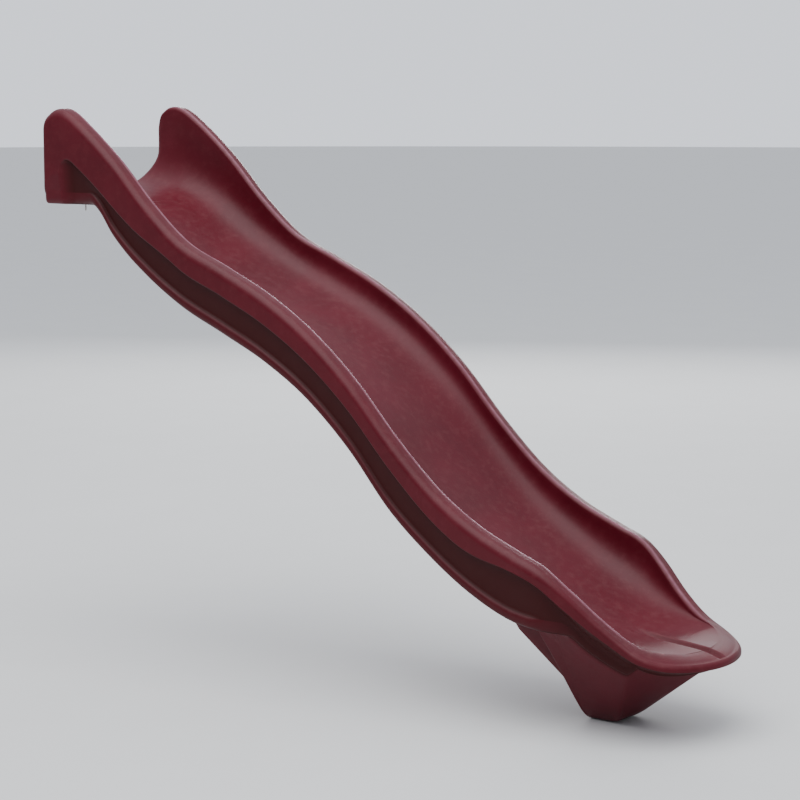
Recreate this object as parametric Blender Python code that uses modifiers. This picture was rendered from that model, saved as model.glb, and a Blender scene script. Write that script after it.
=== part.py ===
"""Wave slide: a one-piece double-wall moulded slide with its deck screws, washers and plugs.

Run with: blender --background --python part.py
Units are metres, +Z up.  X runs downhill, from the deck end to the run-out, and Y runs across.
The origin is on the ground, under the middle of the slide's outer box.
"""

import bpy
import bmesh
import math
import numpy as np

# ---------------------------------------------------------------- driving dimensions
DECK_TOP = 1.522            # height of the deck that the entry flange rests on
HALF_WIDTH = 0.325          # half of the overall width
REAR_X = -0.012             # rear edge of the side wings
LIP_REACH = 0.046           # how far the sitting lip reaches back past the wings
TAPER_START = 1.985         # the sides start to draw in here
TIP_CENTRE = 2.310          # centre of the elliptical run-out tip
TIP_LENGTH = 0.184          # from that centre to the tip
TIP_HALF_WIDTH = 0.255      # half width at that centre
BED_END_REACH = 0.095       # from that centre to the end of the bed's middle line
PLUG_PROUD = 0.0031         # how far the vent plug stands out of the lip's rear face
ORIGIN_X = 0.5 * (REAR_X - LIP_REACH - PLUG_PROUD + TIP_CENTRE + TIP_LENGTH)

WALL = 0.005                # plastic wall thickness
GAP = 0.0003                # gap between touching pieces
SMALL_STEP = 1e-4           # for slopes taken by difference

# Side profiles, as (x, z) knots of smooth curves.
RIM_PROFILE = (
    (-0.012, 1.772), (-0.002, 1.808), (0.018, 1.831), (0.038, 1.842), (0.060, 1.845), (0.088, 1.840),
    (0.120, 1.825), (0.160, 1.798), (0.310, 1.680), (0.460, 1.535), (0.600, 1.423), (0.790, 1.339),
    (0.970, 1.257), (1.140, 1.154), (1.310, 1.015), (1.480, 0.839), (1.640, 0.697), (1.790, 0.604),
    (1.940, 0.540), (2.030, 0.503), (2.110, 0.440), (2.200, 0.362), (2.290, 0.300), (2.390, 0.267),
    (2.510, 0.250),
)
BED_PROFILE = (
    (-0.060, 1.557), (-0.010, 1.566), (0.040, 1.559), (0.090, 1.544), (0.150, 1.534), (0.220, 1.510),
    (0.300, 1.466), (0.380, 1.411), (0.460, 1.358), (0.600, 1.285), (0.790, 1.203), (0.970, 1.121),
    (1.140, 1.017), (1.310, 0.877), (1.480, 0.701), (1.640, 0.560), (1.790, 0.462), (1.900, 0.398),
    (2.000, 0.349), (2.090, 0.310), (2.180, 0.286), (2.290, 0.273), (2.400, 0.264), (2.510, 0.252),
)
BASE_PROFILE = (
    (-0.060, 1.522), (0.195, 1.522), (0.240, 1.496), (0.300, 1.420), (0.360, 1.362), (0.450, 1.293),
    (0.600, 1.201), (0.790, 1.118), (0.960, 1.041), (1.130, 0.939), (1.310, 0.785), (1.470, 0.610),
    (1.620, 0.489), (1.780, 0.388), (1.930, 0.327), (2.020, 0.312), (2.100, 0.303), (2.180, 0.288),
    (2.260, 0.244), (2.350, 0.212), (2.510, 0.200),
)

# The section: rim, rolled outer edge, side face, recessed lower wall and bottom bead.
RIM_WIDTH = 0.063
RIM_WIDTH_EXIT = 0.056
RIM_EXTRA_REAR = 0.009      # how much wider the rim is at the wings' rear edge
RIM_EXTRA_TIP = 0.014       # how much wider it is at the tip
INNER_EDGE = 0.014          # rounding of the rim's inner edge
ROLL = 0.032                # radius of the rim's outer edge
ROLL_EXIT = 0.015
TOP_SLOPE = 0.001           # fall of the rim's top from its inner to its outer side
TOP_SLOPE_TIP = 0.011
FACE_ENTRY, FACE = 0.155, 0.088     # height of the side face below the rim's top
FACE_KNEE, FACE_EXIT = 0.052, 0.031
PANEL_INSET = 0.018         # how far the lower wall lies behind the side face
LIP_INSET = 0.022           # how much further back it lies under the run-out's lip
PANEL_STEP = 0.006          # height of the step between face and lower wall
LIP_STEP = 0.024            # how much higher that step is under the lip
STEP_SHARE = 0.55           # the most of the wall's height that the step takes
WALL_LEAN = 0.006           # how far the lower wall leans in
BEAD = 0.012                # how far the bottom bead stands out
BEAD_TOP, BEAD_CREST, BEAD_FOOT = 0.042, 0.030, 0.009   # heights over the bottom edge
EDGE_INSET = 0.014          # how far the bottom edge lies inside the lower wall
BED_POWER_ENTRY, BED_POWER = 3.9, 2.9   # how square the channel's section is
RAMP_POWER = 3.2            # its shape at the open end

# Foot: a hollow pedestal that flares upward from a small flat pad on the ground.
PAD_REAR, PAD_FRONT, PAD_HALF = 2.045, 2.160, 0.068
FOOT_NOSE_FLARE = 1.30      # forward metres per metre of height, along the front's middle
FOOT_CORNER_FLARE = 0.57    # the same along the front's corners
FOOT_REAR_FLARE = 0.20
FOOT_SIDE_FLARE = 0.587     # sideways metres per metre of height, at the foot's rear wall
FOOT_SIDE_GROWTH = 0.40     # by how much that flare grows per metre forward
FOOT_ROUND = 0.045          # how softly the walls turn into the pad
FOOT_CORNER_ROUND = 0.010   # and into each other, at the front corners
PAD_SHARE = 0.55            # the share of the pad's half width with a column on its flat part
GUSSET_HALF = 0.075
GUSSET_LOW = (2.050, 0.058)
GUSSET_SLOPE = 0.755
GUSSET_SIDE = 0.25          # sideways metres per metre of height

# Deck fixing: hexagon-head lag screws, each in a moulded well, on a washer
WELL_X = -0.014
WELL_SPREAD = 0.115
WELL_BORE = 0.0130
WELL_WALL = 0.0050
WELL_FLOOR = 0.0060
WELL_SKIN = 0.0025          # how far the well's wall stops below the bed
HOLE_RADIUS = 0.0042
WASHER_RADIUS = 0.0095
WASHER_BORE = 0.0038
WASHER_THICK = 0.0016
WASHER_CHAMFER = 0.0004
SHANK_RADIUS = 0.0032
THREAD_DEPTH = 0.0008
THREAD_PITCH = 0.0035
THREAD_TURNS = 8
SCREW_REACH = 0.038         # into the deck
HEAD_ACROSS = 0.0111        # across the flats
HEAD_HEIGHT = 0.0046

# Openings of the hollow moulding
VENT_RADIUS = 0.0060
VENT_PLACE = (0.058, 1.5390)        # y and z, in the rear face of the sitting lip
PLUG_FLANGE = 0.0078
PLUG_FLANGE_THICK = 0.0016
PLUG_DEPTH = 0.0110
DRAIN_RADIUS = 0.0060
DRAIN_X = 2.066             # in the foot pad

WELLS = (("left", WELL_SPREAD), ("middle", 0.0), ("right", -WELL_SPREAD))
WELL_LIFT = 0.0026          # the bed's rise at the outer wells

PLASTIC = (0.105, 0.012, 0.018)
STEEL = (0.45, 0.45, 0.44)
BLACK = (0.02, 0.02, 0.02)


# ---------------------------------------------------------------- curves
def smooth_curve(knots):
    """A smooth cubic through the knots, level at its peaks and flats, as a function of x."""
    xs = np.array([k[0] for k in knots])
    zs = np.array([k[1] for k in knots])
    step = np.diff(xs)
    slope = np.diff(zs) / step
    tangent = np.empty_like(xs)
    tangent[0] = slope[0]
    tangent[-1] = slope[-1]
    tangent[1:-1] = (slope[:-1] * step[1:] + slope[1:] * step[:-1]) / (step[:-1] + step[1:])
    tangent[1:-1][slope[:-1] * slope[1:] <= 0.0] = 0.0

    def curve(x):
        x = np.clip(x, xs[0], xs[-1])
        i = np.clip(np.searchsorted(xs, x, side="right") - 1, 0, len(step) - 1)
        t = (x - xs[i]) / step[i]
        a = (2 * t**3 - 3 * t**2 + 1) * zs[i] + (t**3 - 2 * t**2 + t) * step[i] * tangent[i]
        b = (3 * t**2 - 2 * t**3) * zs[i + 1] + (t**3 - t**2) * step[i] * tangent[i + 1]
        return a + b

    return curve


def ease(low, high, x):
    """0 below low, 1 above high, smooth between."""
    t = np.clip((x - low) / (high - low), 0.0, 1.0)
    return t * t * (3.0 - 2.0 * t)


def mix(a, b, t):
    return a + (b - a) * t


rim_z = smooth_curve(RIM_PROFILE)
bed_z = smooth_curve(BED_PROFILE)
base_z = smooth_curve(BASE_PROFILE)


def soft_min(a, b, radius):
    """The lower of a and b, with the corner rounded over about radius."""
    h = np.clip(0.5 + 0.5 * (b - a) / radius, 0.0, 1.0)
    return mix(b, a, h) - radius * h * (1.0 - h)


def soft_max(a, b, radius):
    return -soft_min(-a, -b, radius)


def gusset_z(x):
    """Lower edge of the gusset that runs back and up from the foot to the base."""
    return GUSSET_LOW[1] + (GUSSET_LOW[0] - x) * GUSSET_SLOPE + 2.0 * np.clip(1.80 - x, 0.0, 1.0) ** 1.3


def side_flare(x):
    """How far the foot's side wall leans out per metre of height, at a place along it."""
    return FOOT_SIDE_FLARE + FOOT_SIDE_GROWTH * np.clip(x - PAD_REAR, 0.0, 0.35)


def front_height(x, y):
    """Height of the foot's front: a prow from the pad's front edge, lowest along the middle."""
    ahead = np.maximum(x - PAD_FRONT, 0.0)
    flare = side_flare(x)
    spread = FOOT_NOSE_FLARE - FOOT_CORNER_FLARE
    half_b = 0.5 * (FOOT_NOSE_FLARE * PAD_HALF - spread * y - ahead * flare)
    a = flare * FOOT_NOSE_FLARE
    height = (np.sqrt(half_b**2 + a * ahead * PAD_HALF) - half_b) / a
    return np.where(x > PAD_FRONT, height, (x - PAD_FRONT) / FOOT_NOSE_FLARE)


def under_z(x, y):
    """Height of the underside: the plain base, the rear gusset and the foot, whichever is lowest."""
    y = np.abs(y)
    panel = 0.022 * ease(0.30, 0.42, x) * (1.0 - ease(1.62, 1.76, x))
    base = base_z(x) + panel * (1.0 - ease(0.215, 0.250, y))
    side = (y - PAD_HALF) / side_flare(x)
    front = front_height(x, y)
    rear = (PAD_REAR - x) / FOOT_REAR_FLARE
    foot = soft_max(np.maximum(soft_max(side, front, FOOT_CORNER_ROUND), rear), 0.0 * x, FOOT_ROUND)
    web = gusset_z(x) + np.clip(y - GUSSET_HALF, 0.0, 1.0) / GUSSET_SIDE + np.clip(x - PAD_REAR, 0.0, 1.0) * 8.0
    return np.maximum(soft_min(base, np.minimum(foot, web), 0.008), 0.0)


# ---------------------------------------------------------------- outline in plan
def outline(station):
    """Outline point, outward normal and centre-line point for a station.

    Stations up to TIP_CENTRE are an x; past it, each unit is the whole quarter turn of the tip.
    """
    if station <= TIP_CENTRE:
        here, ahead = ease(TAPER_START, TIP_CENTRE, np.array([station, station + SMALL_STEP]))
        half = mix(HALF_WIDTH, TIP_HALF_WIDTH, here)
        slope = (TIP_HALF_WIDTH - HALF_WIDTH) * (ahead - here) / SMALL_STEP
        length = math.hypot(1.0, slope)
        return (station, half), (-slope / length, 1.0 / length), station
    phi = (station - TIP_CENTRE) * math.pi / 2.0
    point = (TIP_CENTRE + TIP_LENGTH * math.sin(phi), TIP_HALF_WIDTH * math.cos(phi))
    nx = math.sin(phi) / TIP_LENGTH
    ny = math.cos(phi) / TIP_HALF_WIDTH
    length = math.hypot(nx, ny)
    centre = TIP_CENTRE + BED_END_REACH * (station - TIP_CENTRE)
    return point, (nx / length, ny / length), centre


# ---------------------------------------------------------------- one ring
BED_STEPS = (0.0, 0.30, 0.56, 0.76, 0.89, 0.965, 1.0)
INNER_ARC = (35.0, 90.0)
ROLL_ARC = (90.0, 45.0, 0.0)


def under_columns(x, edge):
    """Where the underside's columns cross a section: on the foot's and gusset's corners, out to the edge."""
    base = float(base_z(x))
    rear = (PAD_REAR - x) / FOOT_REAR_FLARE
    if rear > base:
        corner = GUSSET_HALF
        top = corner + GUSSET_SIDE * max(base - float(gusset_z(x)), 0.0)
    else:
        flare = float(side_flare(x))
        ahead = max(x - PAD_FRONT, 0.0)
        corner = PAD_HALF + flare * max(ahead / FOOT_CORNER_FLARE, rear)
        top = PAD_HALF + flare * base
        if corner > top:
            top *= max(FOOT_NOSE_FLARE - ahead / base, 0.0) / (FOOT_NOSE_FLARE - FOOT_CORNER_FLARE)
            corner = 0.5 * top
    top = min(max(top, corner + 0.02), 0.90 * edge)
    corner = min(corner, top - 0.01)
    return (0.0, PAD_SHARE * corner, corner, 0.5 * (corner + top), top, 0.5 * (top + edge))


def ring(station):
    """Half of the closed section at a station, from the bed's middle over the rim to the base's middle."""
    (ox, oy), (nx, ny), centre = outline(station)
    rim_width = mix(RIM_WIDTH, RIM_WIDTH_EXIT, ease(2.0, 2.1, ox)) + RIM_EXTRA_TIP * ease(2.30, 2.45, ox)
    rim_width += RIM_EXTRA_REAR * (1.0 - ease(0.0, 0.20, ox))
    ix, iy = ox - nx * rim_width, oy - ny * rim_width
    rise = max(float(rim_z(ix) - bed_z(ix)), 0.0)
    open_end = float(ease(2.18, 2.40, ox))
    inner_radius = min(INNER_EDGE, 0.35 * rise) * (1.0 - 0.8 * open_end)
    roll = mix(ROLL, ROLL_EXIT, ease(2.00, 2.12, ox))
    slope_drop = mix(TOP_SLOPE, TOP_SLOPE_TIP, ease(2.25, 2.40, ox))
    face = mix(mix(FACE_ENTRY, FACE, ease(0.30, 0.60, ox)), FACE_KNEE, ease(1.72, 1.98, ox))
    face = mix(face, FACE_EXIT, ease(2.08, 2.30, ox))
    undercut = float(ease(2.02, 2.18, ox))
    inset = PANEL_INSET * float(ease(0.070, 0.120, ox)) + LIP_INSET * undercut
    bead = BEAD * float(1.0 - ease(1.98, 2.06, ox)) * float(ease(0.12, 0.26, ox))
    power = mix(BED_POWER_ENTRY, BED_POWER, float(ease(0.15, 0.60, ox)))

    def plan(d):
        return ox - nx * d, oy - ny * d

    points = []
    for t in BED_STEPS:
        x = mix(centre, ix, t)
        y = iy * t
        lift = mix(1.0 - (1.0 - t**power) ** (1.0 / power), t**RAMP_POWER, open_end)
        lift *= rise - inner_radius
        points.append((x, y, float(bed_z(x)) + lift))
    for angle in INNER_ARC:
        a = math.radians(angle)
        x, y = plan(rim_width - inner_radius * (1.0 - math.cos(a)))
        points.append((x, y, float(rim_z(x)) - inner_radius * (1.0 - math.sin(a))))
    for angle in ROLL_ARC:
        a = math.radians(angle)
        x, y = plan(roll * (1.0 - math.cos(a)))
        points.append((x, y, float(rim_z(x)) - slope_drop - roll * (1.0 - math.sin(a))))
    top = float(rim_z(ox))
    x, y = plan(0.0)
    points.append((x, y, top - face))
    foot_x, foot_y = plan(inset + EDGE_INSET)
    low = float(under_z(foot_x, foot_y))
    step = min(PANEL_STEP + LIP_STEP * undercut, STEP_SHARE * (top - face - low))
    drop = top - face - step - low
    x, y = plan(inset)
    points.append((x, y, low + drop))
    x, y = plan(inset + WALL_LEAN)
    points.append((x, y, low + min(BEAD_TOP, 0.6 * drop)))
    x, y = plan(inset + WALL_LEAN - bead)
    points.append((x, y, low + min(BEAD_CREST, 0.4 * drop)))
    points.append((x, y, low + min(BEAD_FOOT, 0.15 * drop)))
    points.append((foot_x, foot_y, low))
    for y in reversed(under_columns(mix(centre, foot_x, 0.5), max(foot_y, 0.05))):
        x = mix(centre, foot_x, y / max(foot_y, 0.05))
        y = min(y, foot_y * y / max(foot_y, 0.05))
        points.append((x, y, float(under_z(x, y))))
    return np.array(points)


def inset_ring(points, amount):
    """The ring drawn in by amount, and more at the wings' outer side, within its plane, for a rounded end."""
    amount = amount * (0.7 + 1.6 * ease(0.285, 0.315, points[:, 1]))[:, None]
    before = np.roll(points, 1, axis=0)
    after = np.roll(points, -1, axis=0)
    before[0] = points[1] * (1, -1, 1)
    after[-1] = points[-2] * (1, -1, 1)
    direction = after - before
    normal = np.stack([np.zeros(len(points)), direction[:, 2], -direction[:, 1]], axis=1)
    normal /= np.linalg.norm(normal, axis=1)[:, None]
    moved = points + normal * amount
    moved[0, 1] = 0.0
    moved[-1, 1] = 0.0
    return moved


def lean_back(points):
    """Sweeps the entry's rear edge back below the wings, to the sitting lip."""
    low = 1.0 - ease(DECK_TOP + 0.045, DECK_TOP + 0.165, points[:, 2])
    near = 1.0 - ease(REAR_X, REAR_X + 0.16, points[:, 0])
    middle = 1.0 - ease(0.250, 0.300, points[:, 1])
    points[:, 0] -= LIP_REACH * low * near * middle
    return points


STATIONS = (
    [REAR_X + 0.012, 0.022, 0.045, 0.075, 0.100, 0.122, 0.160, 0.200, 0.235, 0.275, 0.320]
    + [float(x) for x in np.linspace(0.38, 1.86, 22)]
    + [1.925, 1.980, 1.996, 2.021, 2.045, 2.056, 2.098, 2.130, 2.160, 2.190, 2.222, 2.252, 2.281]
    + [TIP_CENTRE + float(t) for t in np.linspace(0.0, 1.0, 9)]
)


# How far ahead of the rear edge each end ring lies, and how far it is drawn in.
REAR_ROUNDING = ((0.0, 0.0095), (0.0040, 0.0035))


def slide_rings():
    rings = []
    for back, amount in REAR_ROUNDING:
        section = ring(REAR_X + back)
        rings.append(lean_back(inset_ring(section, amount)))
    for station in STATIONS:
        rings.append(lean_back(ring(station)))
    return rings


# ---------------------------------------------------------------- scene helpers
def collection(name):
    found = bpy.data.collections.new(name)
    bpy.context.scene.collection.children.link(found)
    return found


def material(name, colour, roughness, metallic=0.0):
    mat = bpy.data.materials.new(name)
    mat.use_nodes = True
    shader = mat.node_tree.nodes["Principled BSDF"]
    shader.inputs["Base Color"].default_value = (*colour, 1.0)
    shader.inputs["Roughness"].default_value = roughness
    shader.inputs["Metallic"].default_value = metallic
    return mat


def mesh_object(name, bm, home, mat=None):
    mesh = bpy.data.meshes.new(name)
    bm.to_mesh(mesh)
    bm.free()
    obj = bpy.data.objects.new(name, mesh)
    home.objects.link(obj)
    if mat:
        mesh.materials.append(mat)
    return obj


def smooth_shading(obj, angle=40.0):
    obj.data.shade_smooth()
    obj.data.set_sharp_from_angle(angle=math.radians(angle))


def cylinder(name, radius, low, high, place, home, sides=24):
    """An upright cylinder from height low to height high."""
    bm = bmesh.new()
    bmesh.ops.create_cone(bm, cap_ends=True, segments=sides, radius1=radius, radius2=radius, depth=high - low)
    obj = mesh_object(name, bm, home)
    obj.location = (place[0] - ORIGIN_X, place[1], 0.5 * (low + high))
    return obj


def cutter(obj):
    obj.hide_render = True
    obj.display_type = "WIRE"
    return obj


def boolean(obj, other, operation):
    modifier = obj.modifiers.new(operation.title() + "_" + other.name, "BOOLEAN")
    modifier.operation = operation
    modifier.solver = "EXACT"
    modifier.object = other


def turned(name, profile, place, home, mat=None, sides=12, closed=False):
    """A turned solid from (radius, height) points that run from the top down its outer side."""
    bm = bmesh.new()
    corners = [bm.verts.new((r, 0.0, z)) for r, z in profile]
    for a, b in zip(corners, corners[1:]):
        bm.edges.new((a, b))
    if closed:
        bm.edges.new((corners[-1], corners[0]))
    obj = mesh_object(name, bm, home, mat)
    obj.location = (place[0] - ORIGIN_X, place[1], place[2])
    screw = obj.modifiers.new("Turn", "SCREW")
    screw.steps = sides
    screw.render_steps = sides
    screw.use_merge_vertices = True
    screw.merge_threshold = 0.0001
    return obj


# ---------------------------------------------------------------- sub-parts
def slide_body(home, cutters, mat):
    """The moulding: half a skin, mirrored, then hollowed, with screw wells and drain and vent holes."""
    rings = slide_rings()
    bm = bmesh.new()
    grid = [[bm.verts.new((x - ORIGIN_X, y, z)) for x, y, z in points] for points in rings[:-1]]
    tip = [bm.verts.new((x - ORIGIN_X, 0.0, z)) for x, _, z in rings[-1][1:-1]]
    grid.append([tip[0], *tip, tip[-1]])
    for near, far in zip(grid, grid[1:]):
        for i in range(len(near) - 1):
            corners = (near[i], far[i], far[i + 1], near[i + 1])
            bm.faces.new(tuple(dict.fromkeys(corners)))
    end = grid[0]
    last = len(end) - 1
    for i in range(last // 2):
        corners = (end[i], end[i + 1], end[last - i - 1], end[last - i])
        bm.faces.new(tuple(dict.fromkeys(corners)))
    body = mesh_object("slide_body", bm, home, mat)
    smooth_shading(body)

    mirror = body.modifiers.new("Mirror", "MIRROR")
    mirror.use_axis = (False, True, False)
    mirror.merge_threshold = 0.0001
    shell = body.modifiers.new("Wall", "SOLIDIFY")
    shell.thickness = WALL
    shell.offset = -1.0

    for side, y in WELLS:
        place = (WELL_X, y)
        boss_top = float(bed_z(WELL_X)) - WELL_SKIN + WELL_LIFT * abs(y) / WELL_SPREAD
        boss = cylinder("well_boss_" + side, WELL_BORE + WELL_WALL, DECK_TOP + 0.5 * WALL, boss_top, place, cutters)
        bore = cylinder("well_bore_" + side, WELL_BORE, DECK_TOP + WELL_FLOOR, DECK_TOP + 0.1, place, cutters)
        hole = cylinder("well_hole_" + side, HOLE_RADIUS, DECK_TOP - 0.01, DECK_TOP + 0.01, place, cutters, 12)
        boolean(body, cutter(boss), "UNION")
        boolean(body, cutter(bore), "DIFFERENCE")
        boolean(body, cutter(hole), "DIFFERENCE")
    drain = cylinder("drain_hole", DRAIN_RADIUS, -0.01, 3.0 * WALL, (DRAIN_X, 0.0), cutters, 12)
    boolean(body, cutter(drain), "DIFFERENCE")
    vent_y, vent_z = VENT_PLACE
    vent = cylinder("vent_hole", VENT_RADIUS, -0.010, 0.010, (REAR_X - LIP_REACH, vent_y), cutters, 12)
    vent.rotation_euler = (0.0, math.pi / 2.0, 0.0)
    vent.location.z = vent_z
    boolean(body, cutter(vent), "DIFFERENCE")
    return body


def deck_screw(side, y, home, cutters, mat):
    """A lag screw: hexagon head, plain neck, ridged thread and a point."""
    seat = DECK_TOP + WELL_FLOOR + WASHER_THICK + 2.0 * GAP
    length = seat - DECK_TOP + SCREW_REACH
    thread_end = -length + 0.005
    profile = [(0.0, 0.5 * HEAD_HEIGHT), (SHANK_RADIUS, 0.5 * HEAD_HEIGHT)]
    for i in range(THREAD_TURNS, 0, -1):
        z = thread_end + i * THREAD_PITCH
        profile.append((SHANK_RADIUS - THREAD_DEPTH, z))
        profile.append((SHANK_RADIUS, z - 0.5 * THREAD_PITCH))
    profile.append((SHANK_RADIUS - THREAD_DEPTH, thread_end))
    profile.append((0.0, -length))
    screw = turned("deck_screw_" + side, profile, (WELL_X, y, seat), home, mat)
    smooth_shading(screw)
    head = cylinder("screw_head_" + side, HEAD_ACROSS / math.sqrt(3.0), seat, seat + HEAD_HEIGHT,
                    (WELL_X, y), cutters, 6)
    boolean(screw, cutter(head), "UNION")


def deck_washer(side, y, home, mat):
    profile = [(WASHER_BORE, WASHER_THICK), (WASHER_RADIUS - WASHER_CHAMFER, WASHER_THICK),
               (WASHER_RADIUS, WASHER_THICK - WASHER_CHAMFER), (WASHER_RADIUS, 0.0), (WASHER_BORE, 0.0)]
    turned("deck_washer_" + side, profile, (WELL_X, y, DECK_TOP + WELL_FLOOR + GAP), home, mat, 24, True)


def vent_plug(home, mat):
    """A push-in plug in the rear vent: flange outside, grooved stem inside the wall."""
    stem = VENT_RADIUS - GAP
    top = PLUG_PROUD - GAP
    profile = [(0.0, top), (0.6 * PLUG_FLANGE, top - 0.0002), (PLUG_FLANGE - 0.0004, PLUG_FLANGE_THICK),
               (PLUG_FLANGE, 0.0), (stem, 0.0), (stem, -WALL - 0.0005),
               (stem - 0.0012, -0.8 * PLUG_DEPTH), (stem - 0.0030, -PLUG_DEPTH), (0.0, -PLUG_DEPTH)]
    y, z = VENT_PLACE
    plug = turned("vent_plug", profile, (REAR_X - LIP_REACH - GAP, y, z), home, mat, 24)
    plug.rotation_euler = (0.0, -math.pi / 2.0, 0.0)
    smooth_shading(plug)


def main():
    for obj in list(bpy.data.objects):
        bpy.data.objects.remove(obj, do_unlink=True)
    home = collection("wave_slide")
    cutters = collection("cutters")
    plastic = material("slide_plastic", PLASTIC, 0.42)
    steel = material("zinc_steel", STEEL, 0.35, 1.0)
    black = material("plug_plastic", BLACK, 0.5)
    slide_body(home, cutters, plastic)
    for side, y in WELLS:
        deck_screw(side, y, home, cutters, steel)
        deck_washer(side, y, home, steel)
    vent_plug(home, black)


main()
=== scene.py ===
"""Wave slide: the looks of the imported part, built in its frame.

The moulding is lofted here at full detail and stands for the coarse CAD node; the hardware keeps its CAD
shape.  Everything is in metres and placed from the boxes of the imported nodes.
"""

import math

import bmesh
import bpy
import numpy as np
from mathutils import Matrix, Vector


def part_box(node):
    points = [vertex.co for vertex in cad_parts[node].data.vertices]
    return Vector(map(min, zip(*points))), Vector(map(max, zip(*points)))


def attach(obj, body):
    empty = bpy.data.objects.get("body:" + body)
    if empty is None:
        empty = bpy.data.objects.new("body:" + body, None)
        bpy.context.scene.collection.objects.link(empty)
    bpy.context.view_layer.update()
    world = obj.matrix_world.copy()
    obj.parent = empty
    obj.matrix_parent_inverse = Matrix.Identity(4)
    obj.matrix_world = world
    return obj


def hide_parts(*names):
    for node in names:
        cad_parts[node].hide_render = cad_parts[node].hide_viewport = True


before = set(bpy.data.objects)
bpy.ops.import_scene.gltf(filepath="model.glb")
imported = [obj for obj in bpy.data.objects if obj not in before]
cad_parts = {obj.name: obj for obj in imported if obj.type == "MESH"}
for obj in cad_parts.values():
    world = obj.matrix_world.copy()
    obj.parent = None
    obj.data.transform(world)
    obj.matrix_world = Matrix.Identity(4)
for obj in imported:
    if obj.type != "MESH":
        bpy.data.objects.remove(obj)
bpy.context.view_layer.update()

BODY_LOW, BODY_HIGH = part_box("slide_body")

# ---------------------------------------------------------------- the moulding's dimensions
DECK_TOP = 1.522            # height of the deck that the entry flange rests on
HALF_WIDTH = 0.325          # half of the overall width
REAR_X = -0.012             # rear edge of the side wings
LIP_REACH = 0.046           # how far the sitting lip reaches back past the wings
TAPER_START = 1.985         # the sides start to draw in here
TIP_CENTRE = 2.310          # centre of the elliptical run-out tip
TIP_LENGTH = 0.184          # from that centre to the tip
TIP_HALF_WIDTH = 0.255      # half width at that centre
BED_END_REACH = 0.095       # from that centre to the end of the bed's middle line
SHIFT_X = BODY_LOW.x - (REAR_X - LIP_REACH)     # from the profiles' own x to the frame's x
GAP = 0.0003                # gap between touching pieces
SMALL_STEP = 1e-4           # for slopes taken by difference

# Side profiles, as (x, z) knots of smooth curves.
RIM_PROFILE = (
    (-0.012, 1.772), (-0.002, 1.808), (0.018, 1.831), (0.038, 1.842), (0.060, 1.845), (0.088, 1.840),
    (0.120, 1.825), (0.160, 1.798), (0.310, 1.680), (0.460, 1.535), (0.600, 1.423), (0.790, 1.339),
    (0.970, 1.257), (1.140, 1.154), (1.310, 1.015), (1.480, 0.839), (1.640, 0.697), (1.790, 0.604),
    (1.940, 0.540), (2.030, 0.503), (2.110, 0.440), (2.200, 0.362), (2.290, 0.300), (2.390, 0.267),
    (2.510, 0.250),
)
BED_PROFILE = (
    (-0.060, 1.557), (-0.010, 1.566), (0.040, 1.559), (0.090, 1.544), (0.150, 1.534), (0.220, 1.510),
    (0.300, 1.466), (0.380, 1.411), (0.460, 1.358), (0.600, 1.285), (0.790, 1.203), (0.970, 1.121),
    (1.140, 1.017), (1.310, 0.877), (1.480, 0.701), (1.640, 0.560), (1.790, 0.462), (1.900, 0.398),
    (2.000, 0.349), (2.090, 0.310), (2.180, 0.286), (2.290, 0.273), (2.400, 0.264), (2.510, 0.252),
)
BASE_PROFILE = (
    (-0.060, 1.522), (0.195, 1.522), (0.240, 1.496), (0.300, 1.420), (0.360, 1.362), (0.450, 1.293),
    (0.600, 1.201), (0.790, 1.118), (0.960, 1.041), (1.130, 0.939), (1.310, 0.785), (1.470, 0.610),
    (1.620, 0.489), (1.780, 0.388), (1.930, 0.327), (2.020, 0.312), (2.100, 0.303), (2.180, 0.288),
    (2.260, 0.244), (2.350, 0.212), (2.510, 0.200),
)

# The section: rim, rolled outer edge, side face, recessed lower wall and bottom bead.
RIM_WIDTH = 0.063
RIM_WIDTH_EXIT = 0.056
RIM_EXTRA_REAR = 0.009      # how much wider the rim is at the wings' rear edge
RIM_EXTRA_TIP = 0.014       # how much wider it is at the tip
INNER_EDGE = 0.014          # rounding of the rim's inner edge
INNER_EDGE_SHARE = 0.35     # the most of the wall's height that this rounding takes
ROLL = 0.032                # radius of the rim's outer edge
ROLL_EXIT = 0.015
TOP_SLOPE = 0.001           # fall of the rim's top from its inner to its outer side
TOP_SLOPE_TIP = 0.011
FACE_ENTRY, FACE = 0.155, 0.088     # height of the side face below the rim's top
FACE_KNEE, FACE_EXIT = 0.052, 0.031
HOOK_X = 0.070              # where the recessed lower wall starts, behind a rounded corner
HOOK_RADIUS = 0.060         # the radius of that corner
HOOK_BLEND = 0.050          # the length over which the wall reaches its full depth
PANEL_INSET = 0.018         # how far the lower wall lies behind the side face
LIP_INSET = 0.022           # how much further back it lies under the run-out's lip
PANEL_STEP = 0.006          # height of the step between face and lower wall
LIP_STEP = 0.024            # how much higher that step is under the lip
STEP_SHARE = 0.55           # the most of the wall's height that the step takes
WALL_LEAN = 0.006           # how far the lower wall leans in
WALL_LEAST = 0.004          # the least height of the lower wall
BEAD = 0.012                # how far the bottom bead stands out
BEAD_LEAN = 0.001           # how far its foot lies inside its crest
BEAD_TOP, BEAD_CREST, BEAD_FOOT = 0.046, 0.034, 0.011   # heights over the bottom edge
BEAD_SHARES = (0.60, 0.45, 0.15)    # the most of the wall's height that each of the three takes
EDGE_INSET = 0.014          # how far the bottom edge lies inside the lower wall
EDGE_RUN = 0.016            # the flat stretch from that edge inward
SIDE_ROUNDS = (0.005, 0.004, 0.006, 0.007, 0.009, 0.005)    # rounding of the side's corners, top to bottom
CORNER_SHARE = 0.48         # the most of each neighbouring stretch that a rounding takes
BED_POWER_ENTRY, BED_POWER = 3.9, 2.9   # how square the channel's section is
RAMP_POWER = 3.2            # its shape at the open end
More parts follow.
